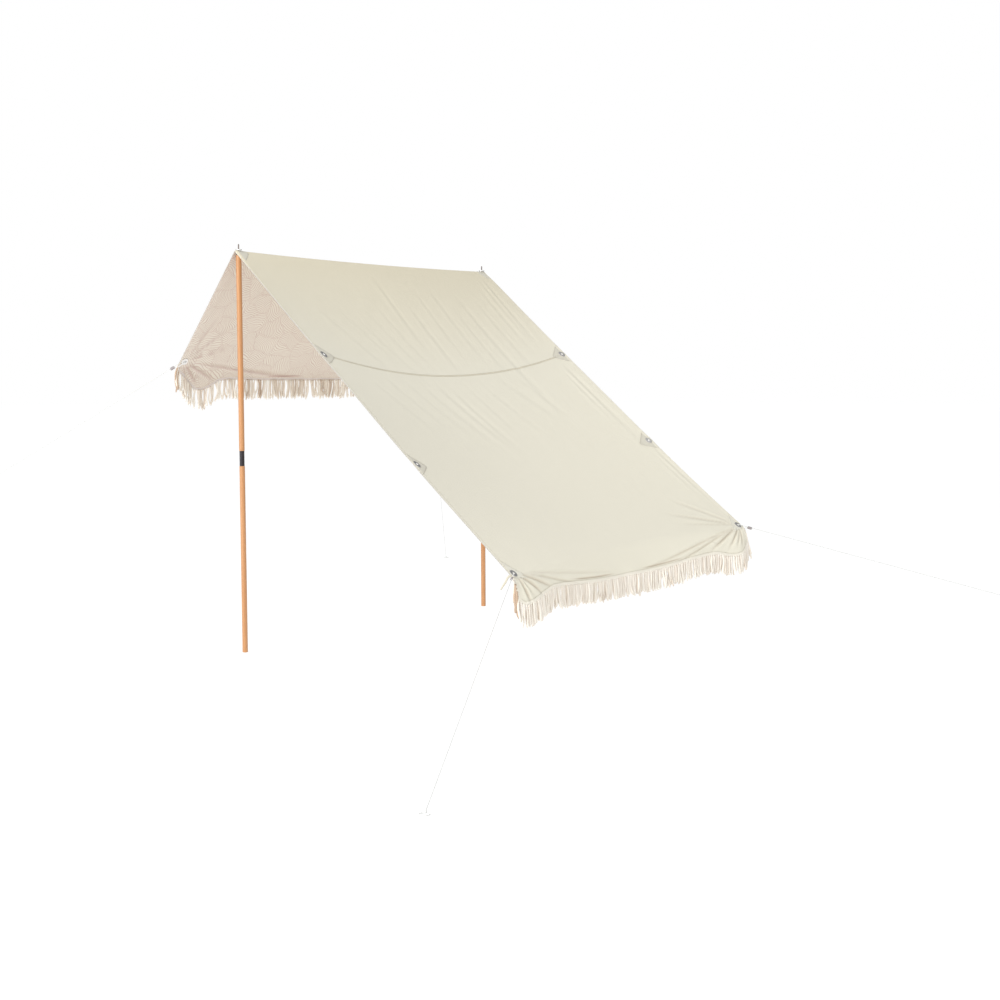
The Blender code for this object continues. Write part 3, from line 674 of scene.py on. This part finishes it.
def gridLines():
    hole = cloth["holeX"]
    offsets = np.array([-2.3, -1.75, -1.35, -1.0, -0.5, 0.0, 0.5, 1.0, 1.35, 1.75]) * hole
    nearEdge = np.concatenate([canopy["halfSpan"] + offsets, [sideEdge - 0.0012, sideEdge]])
    inner = nearEdge[0] - 0.006
    zone = np.linspace(inner, inner - cloth["edgeZone"], cloth["edgeColumns"], endpoint=False)
    middle = np.linspace(cloth["edgeZone"] - inner, inner - cloth["edgeZone"], cloth["columns"])
    xs = np.concatenate([-nearEdge[::-1], -zone, middle, zone[::-1], nearEdge])
    marks = np.array([-2.3, -1.65, -1.0, -0.5, 0.0, 0.5, 1.0, 1.65, 2.3]) * cloth["holeDist"]
    ridge = np.array([-0.008, -0.005, -0.0025, 0.0, 0.0025, 0.005, 0.008])
    steps = [ridge, -np.linspace(0.014, backEnd, cloth["backRows"]), np.linspace(0.014, 1.55, cloth["midRows"]),
             np.linspace(1.56, frontEnd, cloth["lowRows"])]
    lines = np.unique(np.round(np.concatenate(steps), 5))
    for centre in [share * frontLength for share in (*canopy["sideShares"], 1.0)] + [-backLength]:
        lines = lines[np.abs(lines - centre) > 2.3 * cloth["holeDist"] + 0.003]
        lines = np.concatenate([lines, centre + marks])
    return xs, np.sort(np.unique(lines))


# Eyelet hole: grid squares round the centre are drawn to a circle, which eases back to the grid
def openHoles(x, dist, xs, lines):
    holes = []
    firstBack = cloth["flapRows"]
    for centreX, centreDist in eyeletCentres():
        dx, dd = (x - centreX) / cloth["holeX"], (dist - centreDist) / cloth["holeDist"]
        reach = np.maximum(np.abs(dx), np.abs(dd))
        turn = np.arctan2(dd, dx)
        ease = 1.0 - smoothStep(1.0, cloth["holeReach"], reach)
        ease = np.where(reach > cloth["holeReach"], 0.0, ease)
        x = x + ease * (centreX + reach * cloth["hole"] * np.cos(turn) - x)
        dist = dist + ease * (centreDist + reach * cloth["hole"] * np.sin(turn) - dist)
        i = int(np.argmin(np.abs(xs - centreX)))
        j = int(np.argmin(np.abs(lines - centreDist))) + firstBack
        holes.append((i - 2, i + 2, j - 2, j + 2))
    return x, dist, holes


def makeCloth():
    xs, lines = gridLines()
    shares = np.linspace(0.0, 1.0, cloth["flapRows"] + 1)[1:]
    backDist = lines[0] - (flapDrop(xs, False) - (-backEnd - lines[0]))[:, None] * shares[::-1][None, :]
    frontDist = lines[-1] + (flapDrop(xs, True) - (lines[-1] - frontEnd))[:, None] * shares[None, :]
    dist = np.concatenate([backDist, np.repeat(lines[None, :], len(xs), axis=0), frontDist], axis=1)
    x = np.repeat(xs[:, None], dist.shape[1], axis=1)
    x, dist, holes = openHoles(x, dist, xs, lines)
    hem = cloth["hemRise"] * (1.0 - smoothStep(cloth["hemWidth"] - 0.001, cloth["hemWidth"] + 0.001, sideEdge - np.abs(x)))
    # the valley value carries painted shade for the fold valleys and hem creases to the materials
    item = closedSheet("canopy_cloth", x, dist, -canopy["thick"] / 2 - hem * 0.4, canopy["thick"] / 2 + hem,
                       [outerCanvas, liningPrint, shadedHemCanvas], (0, 1, 2), holes=holes,
                       attributes={"valleyShade": foldParts(x, dist)[1]})
    print("canopy cloth", len(item.data.polygons), "faces")
    return item


canopyCloth = makeCloth()
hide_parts("canopy_front_upper", "canopy_front_lower", "canopy_back", "canopy_front_flap", "canopy_back_flap")


# ---- flat-felled cross seam
def makeSeamTape():
    seam = dict(place=canopy["seamShare"] * frontLength, half=0.0034, rise=0.0003)
    xs = np.linspace(-sideEdge + 0.002, sideEdge - 0.002, 280)
    xs = xs[np.abs(np.abs(xs) - canopy["halfSpan"]) > 0.0175]
    xs = xs[np.abs(xs) < canopy["halfSpan"]]
    rows = np.array([-1.0, -0.9, -0.4, 0.0, 0.4, 0.9, 1.0])
    x, d = np.meshgrid(xs, seam["place"] + rows * seam["half"], indexing="ij")
    high = 0.0008 + seam["rise"] * (1 - np.abs((d - seam["place"]) / seam["half"]) ** 6)
    item = closedSheet("seam_tape", x, d, 0.0004, high, [seamCloth])
    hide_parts("front_seam_tape")
    return item


seamTape = makeSeamTape()

# ---- patches at the eyelets: outlines as steps inwards and along from the eyelet's centre
patch = dict(
    side=((-0.0205, -0.066), (-0.0205, 0.066), (0.020, 0.034), (0.062, 0.004), (0.062, -0.010), (0.020, -0.038)),
    corner=((-0.0205, -0.085), (-0.0205, 0.016), (0.0, 0.024), (0.052, 0.024), (0.058, 0.016)),
    ridge=((-0.0205, -0.076), (-0.0205, 0.076), (0.040, 0.020), (0.040, -0.020)),
    low=0.0009, high=0.0016, angles=64, rings=9, hole=0.0086, ridgeHole=0.0036,
)


# Outline: from the centre, the nearest of the polygon's sides in each direction
def outlineReach(turn, corners):
    corners = np.array(corners)
    along = np.roll(corners, -1, axis=0) - corners
    normal = np.stack([along[:, 1], -along[:, 0]], -1)
    normal /= np.linalg.norm(normal, axis=1, keepdims=True)
    reach = (corners * normal).sum(1)
    normal = normal * np.sign(reach)[:, None]
    facing = normal @ np.stack([np.cos(turn), np.sin(turn)])
    return np.where(facing > 1e-6, np.abs(reach)[:, None] / np.maximum(facing, 1e-6), 9.0).min(0)


def makePatches():
    made = []
    for side, word in ((-1.0, "left"), (1.0, "right")):
        spots = [("upper", canopy["sideShares"][0] * frontLength, "side", 1.0), ("lower", canopy["sideShares"][1] * frontLength, "side", 1.0),
                 ("front", frontLength, "corner", 1.0), ("back", -backLength, "corner", -1.0), ("ridge", 0.0, "ridge", 1.0)]
        for label, place, kind, way in spots:
            hole = patch["ridgeHole"] if kind == "ridge" else patch["hole"]
            corners = np.array(patch[kind])
            turn = np.arange(patch["angles"]) * 2 * math.pi / patch["angles"]
            turn = np.unique(np.concatenate([turn, np.arctan2(corners[:, 1], corners[:, 0]) % (2 * math.pi)]).round(6))
            share = np.linspace(0.0, 1.0, patch["rings"])[None, :]
            reach = hole + (outlineReach(turn, patch[kind])[:, None] - hole) * share
            x = side * (canopy["halfSpan"] - reach * np.cos(turn)[:, None])
            dist = place + way * reach * np.sin(turn)[:, None]
            high = patch["high"] - 0.0006 * share ** 8 * np.ones_like(x)
            item = closedSheet("patch_%s_%s" % (word, label), x, dist, patch["low"], high, [patchCloth], ring=True)
            if side * way < 0:
                item.data.flip_normals()
            made.append(item)
    return made


patches = makePatches()
print("seam tape and patches ready")


# ---- fringe
# Tube: rings of points carried along many paths at once, closed at both ends
def tubeMesh(paths, radius, sides):
    count, steps, _ = paths.shape
    tangent = np.gradient(paths, axis=1)
    tangent /= np.linalg.norm(tangent, axis=-1, keepdims=True)
    first = np.cross(tangent, np.array([0.31, 0.92, 0.24]))
    first /= np.linalg.norm(first, axis=-1, keepdims=True)
    second = np.cross(tangent, first)
    turn = np.arange(sides) * 2 * math.pi / sides
    ring = (first[:, :, None, :] * np.cos(turn)[None, None, :, None]
            + second[:, :, None, :] * np.sin(turn)[None, None, :, None])
    verts = (paths[:, :, None, :] + ring * radius[:, :, None, None]).reshape(-1, 3)
    base = (np.arange(count) * steps * sides)[:, None, None]
    i = (np.arange(steps - 1) * sides)[None, :, None]
    k = np.arange(sides)[None, None, :]
    n = (k + 1) % sides
    quads = np.stack(np.broadcast_arrays(base + i + k, base + i + n, base + i + sides + n, base + i + sides + k), -1)
    low = (base[:, 0, 0, None] + np.arange(sides)[::-1]).tolist()
    high = (base[:, 0, 0, None] + (steps - 1) * sides + np.arange(sides)).tolist()
    along = np.concatenate([np.zeros((count, 1)), np.cumsum(np.linalg.norm(np.diff(paths, axis=1), axis=-1), axis=1)], axis=1)
    uv = np.stack(np.broadcast_arrays(turn[None, None, :] / (2 * math.pi), along[:, :, None] * 11.0), -1).reshape(-1, 2)
    return verts, quads.reshape(-1, 4).tolist() + low + high, uv


# the back fringe's tint of 1.0 against 0.90 at the front is painted light for the fringe in the canopy's shade; the
# second row's lower tint is painted shade
strand = dict(spacing=(0.0142, 0.0122), length=0.081, radius=(0.0043, 0.0036), clump=2, secondRow=(0.75, 0.70), steps=12,
              sides=8, pull=(0.05, 0.05), loose=(1.1, 1.8), tint=(0.90, 1.0), tintSpread=(0.07, 0.22), behindShade=(0.22, 0.34))


# Hem line: down the side edge from just below the corner eyelet, along the hem and up the other side, as even
# steps of a polyline whose corners a 30 mm bell rounds off; inward moves it sideways into the cloth
def hemCurve(front, count=1600, inward=0.0):
    xs = np.linspace(-sideEdge, sideEdge, 900)
    drop = flapDrop(xs, front)
    down, up = (np.linspace(0.006, drop[i], 40, endpoint=False) for i in (0, -1))
    x = np.concatenate([np.full(40, -sideEdge), xs, np.full(40, sideEdge)])
    d = np.concatenate([down, drop, up[::-1]])
    length = np.concatenate([[0.0], np.cumsum(np.hypot(np.diff(x), np.diff(d)))])
    even = np.linspace(0.0, length[-1], count)
    kernel = np.hanning(int(0.030 / even[1]) | 1)
    x, d = (np.convolve(np.pad(np.interp(even, length, v), len(kernel) // 2, mode="reflect", reflect_type="odd"),
                        kernel / kernel.sum(), "valid") for v in (x, d))
    alongX, alongD = np.gradient(x), np.gradient(d)
    size = np.hypot(alongX, alongD)
    x, d = x + inward * alongD / size, d - inward * alongX / size
    return x, (frontEnd + d if front else -(backEnd + d))


# Strand: straight down from the hem, leaning with its clump, bowed once, with a tapered tip;
# at the side edges it leans outwards
def strandPaths(front, seeded):
    xs, dist = hemCurve(front, inward=0.001)
    length = np.concatenate([[0.0], np.cumsum(np.linalg.norm(np.diff(clothPoint(xs, dist), axis=0), axis=1))])
    sign = -1.0 if front else 1.0
    spacing, radius, secondRow, pull, loose, tint, tintSpread, behindShade = (
        strand[k][0 if front else 1]
        for k in ("spacing", "radius", "secondRow", "pull", "loose", "tint", "tintSpread", "behindShade"))
    t = np.linspace(0.0, 1.0, strand["steps"])
    paths, radii, tints = [], [], []
    for row in range(2):
        places = np.arange(spacing * (0.4 + 0.5 * row), length[-1], spacing)
        if row:
            places = places[seeded.random(len(places)) < secondRow]
        count = len(places)
        places = places + seeded.normal(0, 0.0008, count)
        startX = np.interp(places, length, xs)
        top = clothPoint(startX, np.interp(places, length, dist))
        top[:, 1] -= sign * 0.0032 * row
        size = strand["length"] * (1 + seeded.normal(0, 0.045, count) - 0.14 * (seeded.random(count) < 0.06))
        group = np.floor(np.cumsum(seeded.uniform(0.2, 1.8, count)) / strand["clump"]).astype(int)
        lean = seeded.normal(0, 0.0034, group.max() + 1)[group] + seeded.normal(0, 0.0020 * loose, count)
        middle = np.array([places[group == g].mean() for g in range(group.max() + 1)])[group]
        lean = lean + (middle - places) * pull
        beside = smoothStep(sideEdge - 0.012, sideEdge - 0.002, np.abs(startX)) * np.sign(startX)
        lean = lean + beside * seeded.uniform(0.003, 0.015, count)
        out = seeded.normal(0.003, 0.005, group.max() + 1)[group] + seeded.normal(0, 0.0025, count)
        bow = seeded.normal(0, 0.0018 * loose, count) + beside * 0.003
        curl = seeded.normal(0, 0.0011 * loose, count)
        x = top[:, 0, None] + lean[:, None] * t ** 1.2 + bow[:, None] * np.sin(t * math.pi * 1.3)
        x = x + curl[:, None] * np.sin(t * 8.0) * t
        y = top[:, 1, None] + sign * out[:, None] * t ** 1.3 + seeded.normal(0, 0.0015, count)[:, None] * np.sin(t * 4.2)
        paths.append(np.stack([x, y, top[:, 2, None] - size[:, None] * t], -1))
        profile = 0.94 + 0.10 * np.sin(t * math.pi) + 0.06 * t
        profile[-1] *= 0.5
        radii.append(radius * profile[None, :] * seeded.uniform(0.82, 1.18, count)[:, None])
        # painted shade: second-row strands darker by the row drop, and most strands at the left side edge darker still
        tints.append(np.clip(seeded.normal(tint - behindShade * row, tintSpread, count)
                             - 1.2 * (beside < 0) * (seeded.random(count) < 0.8), 0, 1))
    return np.concatenate(paths), np.concatenate(radii), np.concatenate(tints)


def makeFringe(front):
    word = "front" if front else "back"
    paths, radii, tints = strandPaths(front, np.random.default_rng(11 if front else 23))
    verts, faces, uv = tubeMesh(paths, radii, strand["sides"])
    tint = np.repeat(tints, strand["steps"] * strand["sides"])
    item = addPiece("fringe_strands_" + word, verts, faces, [fringeCotton], uv=uv, attributes={"tint": tint})
    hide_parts("fringe_" + word)
    print("fringe", word, len(paths), "strands", len(item.data.polygons), "faces")
    return item


fringes = [makeFringe(True), makeFringe(False)]


# Header: a narrow band that follows the hem line over the tops of the strands, ribbed by a sine along its length
def makeHeader(front):
    header = dict(columns=1500, rows=(-0.0012, -0.0006, 0.0022, 0.0056, 0.0088, 0.0096), half=0.0017, rib=0.0005, pitch=0.0062)
    word = "front" if front else "back"
    rows = header["rows"][::-1] if front else header["rows"]
    lines = [hemCurve(front, header["columns"], inward=row) for row in rows]
    x, d = (np.stack([line[i] for line in lines], -1) for i in (0, 1))
    along = np.cumsum(np.hypot(np.gradient(x, axis=0), np.gradient(d, axis=0)), axis=0)
    high = header["half"] + header["rib"] * np.sin(2 * math.pi * along / header["pitch"])
    # the under side takes the darker tape copy as painted shade
    item = closedSheet("fringe_header_" + word, x, d, -high, high, [headerTape, shadedTapeBack], (0, 1, 0))
    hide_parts("fringe_band_" + word)
    return item


headers = [makeHeader(True), makeHeader(False)]
print("fringe and headers ready")


# ---- stitches: short dashes laid in the cloth's surface along rows
stitch = dict(length=0.0030, pitch=0.0044, width=0.00045, rise=0.0004)


def dashPaths(xs, dist, lift):
    points = clothPoint(xs, dist, lift * np.ones_like(xs))
    length = np.concatenate([[0.0], np.cumsum(np.linalg.norm(np.diff(points, axis=0), axis=1))])
    starts = np.arange(0.002, length[-1] - stitch["pitch"], stitch["pitch"])
    t = np.array([0.0, 0.25, 0.75, 1.0])
    places = starts[:, None] + t[None, :] * stitch["length"]
    x, d = np.interp(places, length, xs), np.interp(places, length, dist)
    arc = stitch["rise"] * np.array([-0.8, 1.0, 1.0, -0.8])[None, :] * np.ones_like(x)
    return clothPoint(x, d, lift + arc)


def makeStitches():
    rows = []
    along = np.linspace(-canopy["halfSpan"] + 0.02, canopy["halfSpan"] - 0.02, 400)
    for step in (-0.0030, 0.0030):
        rows.append(dashPaths(along, canopy["seamShare"] * frontLength + step + 0 * along, 0.0016))
    for front in (True, False):
        # hem row: real stitching whose darker thread also stands in for the shade between the header's loops, partly
        # painted shade
        rows.append(dashPaths(*hemCurve(front, 1200, inward=0.0116), 0.0012))
    for side in (-1.0, 1.0):
        for start, stop in ((-backLength + 0.10, -0.09), (0.09, 0.52), (0.67, 1.13), (1.28, frontLength - 0.09)):
            down = np.linspace(start, stop, 200)
            rows.append(dashPaths(side * (sideEdge - 0.0135) + 0 * down, down, 0.0014))
        for place, kind, way in ((canopy["sideShares"][0] * frontLength, "side", 1.0), (canopy["sideShares"][1] * frontLength, "side", 1.0),
                                 (frontLength, "corner", 1.0), (-backLength, "corner", -1.0)):
            turn = np.linspace(0.0, 2 * math.pi, 241)
            reach = outlineReach(turn, patch[kind]) * 0.93
            rows.append(dashPaths(side * (canopy["halfSpan"] - reach * np.cos(turn)), place + way * reach * np.sin(turn), 0.0018))
    paths = np.concatenate(rows)
    radii = stitch["width"] * np.array([0.6, 1.0, 1.0, 0.6])[None, :] * np.ones((len(paths), 1))
    verts, faces, uv = tubeMesh(paths, radii, 5)
    item = addPiece("stitches", verts, faces, [stitchThread], uv=uv, attributes={"tint": np.full(len(verts), 0.6)})
    print("stitches", len(paths))
    return item


stitches = makeStitches()


# Loose end of the header's braid at the low left corner: out from the edge and over, falling by a parabola
def makeTail():
    tail = dict(reach=(-0.030, 0.032), rise=0.010, fall=0.042, radius=0.0040)
    start = clothPoint(np.array([-sideEdge + 0.002]), np.array([frontEnd + 0.004]))[0]
    t = np.linspace(0.0, 1.0, 24)
    path = start + np.stack([tail["reach"][0] * t, tail["reach"][1] * t,
                             tail["rise"] * np.sin(math.pi * np.minimum(t * 1.6, 1.0)) - tail["fall"] * t ** 2], -1)
    radius = tail["radius"] * (1.0 - 0.5 * t ** 6)
    verts, faces, uv = tubeMesh(path[None], radius[None], 10)
    item = addPiece("header_tail", verts, faces, [stitchThread], uv=uv, attributes={"tint": np.full(len(verts), 0.8)})
    return item


tail = makeTail()


# ---- finishes for the hard pieces
def woodMaterial():
    mat, nodes, links, shader = newMaterial("varnishedDowel")
    place = nodes.new("ShaderNodeTexCoord").outputs["Object"]
    stretch = addNode(nodes, "ShaderNodeMapping", Scale=(55.0, 55.0, 2.2))
    links.new(place, stretch.inputs["Vector"])
    grain = addNode(nodes, "ShaderNodeTexNoise", Scale=3.0, Detail=6.0, Roughness=0.6, Distortion=0.4)
    links.new(stretch.outputs[0], grain.inputs["Vector"])
    pores = addNode(nodes, "ShaderNodeTexNoise", Scale=14.0, Detail=3.0)
    links.new(stretch.outputs[0], pores.inputs["Vector"])
    tone = mixColor(nodes, links, grain.outputs[0], (0.392, 0.166, 0.056), (0.655, 0.336, 0.145))
    dark = calc(nodes, links, "MULTIPLY", calc(nodes, links, "GREATER_THAN", pores.outputs[0], 0.60), 0.30)
    links.new(mixColor(nodes, links, dark, tone, (0.30, 0.125, 0.045)), shader.inputs["Base Color"])
    shader.inputs["Roughness"].default_value = 0.42
    shader.inputs["Specular IOR Level"].default_value = 0.3
    shader.inputs["Coat Weight"].default_value = 0.65
    shader.inputs["Coat Roughness"].default_value = 0.32
    bumpChain(nodes, links, shader, [(grain.outputs[0], 0.15, 0.0006)])
    return mat


# Used metal and plastic: two close tones by noise for wear; where rim is given, darker where the surface turns away
# from the eye, a painted dark reflection
def wearAndRimReflectionMaterial(name, color, rough, metallic, scratch=0.15, rim=None):
    mat, nodes, links, shader = newMaterial(name)
    wear = addNode(nodes, "ShaderNodeTexNoise", Scale=120.0, Detail=5.0, Roughness=0.65)
    links.new(nodes.new("ShaderNodeTexCoord").outputs["Object"], wear.inputs["Vector"])
    tone = mixColor(nodes, links, wear.outputs[0], tuple(c * 0.78 for c in color), color)
    # painted dark reflection towards the rim
    if rim:
        rimReflection = nodes.new("ShaderNodeMapRange")
        rimReflection.inputs["From Min"].default_value = 0.36
        rimReflection.inputs["From Max"].default_value = 0.58
        links.new(addNode(nodes, "ShaderNodeLayerWeight", Blend=0.5).outputs["Facing"], rimReflection.inputs["Value"])
        tone = mixColor(nodes, links, rimReflection.outputs[0], tone, (rim,) * 3)
    links.new(tone, shader.inputs["Base Color"])
    shader.inputs["Metallic"].default_value = metallic
    links.new(calc(nodes, links, "MULTIPLY_ADD", wear.outputs[0], 0.2, rough - 0.08), shader.inputs["Roughness"])
    bumpChain(nodes, links, shader, [(wear.outputs[0], scratch, 0.0003)])
    return mat


# Braid: small cells over the cord, lighter in the middle of each
def cordMaterial():
    mat, nodes, links, shader = newMaterial("braidedCord")
    knit = addNode(nodes, "ShaderNodeTexVoronoi", Scale=900.0)
    links.new(nodes.new("ShaderNodeTexCoord").outputs["Object"], knit.inputs["Vector"])
    links.new(mixColor(nodes, links, knit.outputs["Distance"], (0.84, 0.84, 0.83), (0.68, 0.69, 0.67)), shader.inputs["Base Color"])
    shader.inputs["Roughness"].default_value = 0.85
    bumpChain(nodes, links, shader, [(knit.outputs["Distance"], 0.5, 0.0004)])
    return mat


dowelWood = woodMaterial()
guyCord = cordMaterial()
finishes = {"varnished_wood": dowelWood, "black_metal": wearAndRimReflectionMaterial("blackTube", (0.064, 0.058, 0.062), 0.30, 1.0, scratch=0.04),
            # eyelet metal: pale, mostly diffuse base standing in for the white studio seen in the ring (painted
            # reflection), with a painted dark reflection at its rim
            "eyelet_metal": wearAndRimReflectionMaterial("eyeletMetal", (0.95, 0.93, 0.90), 0.22, 0.30, rim=0.20),
            "white_cord": guyCord, "grey_plastic": wearAndRimReflectionMaterial("sliderPlastic", (0.38, 0.34, 0.34), 0.5, 0.0)}
spikeSteel = wearAndRimReflectionMaterial("spikeSteel", (0.26, 0.22, 0.20), 0.40, 1.0)
slotOf = {s["node"]: s["material_slot"] for s in frame["record"]["subparts"]}
for name, node in frame["nodes"].items():
    if slotOf.get(name) in finishes:
        for index in range(len(node.material_slots)):
            node.material_slots[index].material = spikeSteel if name.endswith("_spike") else finishes[slotOf[name]]


# ---- strand between each corner eyelet and its slider, drawn out as the slider runs down the line
guy = dict(run=dict(front=1.65, back=1.92), angle=dict(front_left=28.0, front_right=38.0, back_left=36.0, back_right=36.0),
           groundHeight=0.0046, cordRadius=0.0016, standOff=0.0015 + 0.0008 + 0.0013 + 0.0016 + 0.0003,
           sliderAt=0.056, sliderHalf=0.009, strandOffset=0.0056)


def returnStrand(key):
    end, word = key.split("_")
    side, ahead = (-1.0 if word == "left" else 1.0), (-1.0 if end == "front" else 1.0)
    x = np.array([side * canopy["halfSpan"]])
    dist = np.array([frontLength if end == "front" else -backLength])
    centre, normal = Vector(plainCloth(x, dist)[0]), Vector(clothNormal(x, dist)[0])
    angle = math.radians(guy["angle"][key])
    ground = Vector((centre.x + side * guy["run"][end] * math.cos(angle), centre.y + ahead * guy["run"][end] * math.sin(angle),
                     guy["groundHeight"]))
    start = centre + normal * guy["standOff"]
    along = (ground - start).normalized()
    up = (normal - along * normal.dot(along)).normalized()
    first = guy["sliderAt"] - guy["sliderHalf"] - 0.0012
    near = start + along * (first - 0.004) - up * guy["strandOffset"]
    far = start + along * (first + 0.0026) - up * guy["strandOffset"]
    t = np.linspace(0.0, 1.0, 28)[:, None]
    path = np.array(near)[None, :] * (1 - t) + np.array(far)[None, :] * t
    verts, faces, uv = tubeMesh(path[None], np.full((1, len(t)), guy["cordRadius"] * 1.03), 12)
    item = addPiece("return_strand_" + key, verts, faces, [guyCord], body=None, uv=uv)
    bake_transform(item)
    return item


strands = [returnStrand(key) for key in guy["angle"]]
print("cords and hard pieces ready")
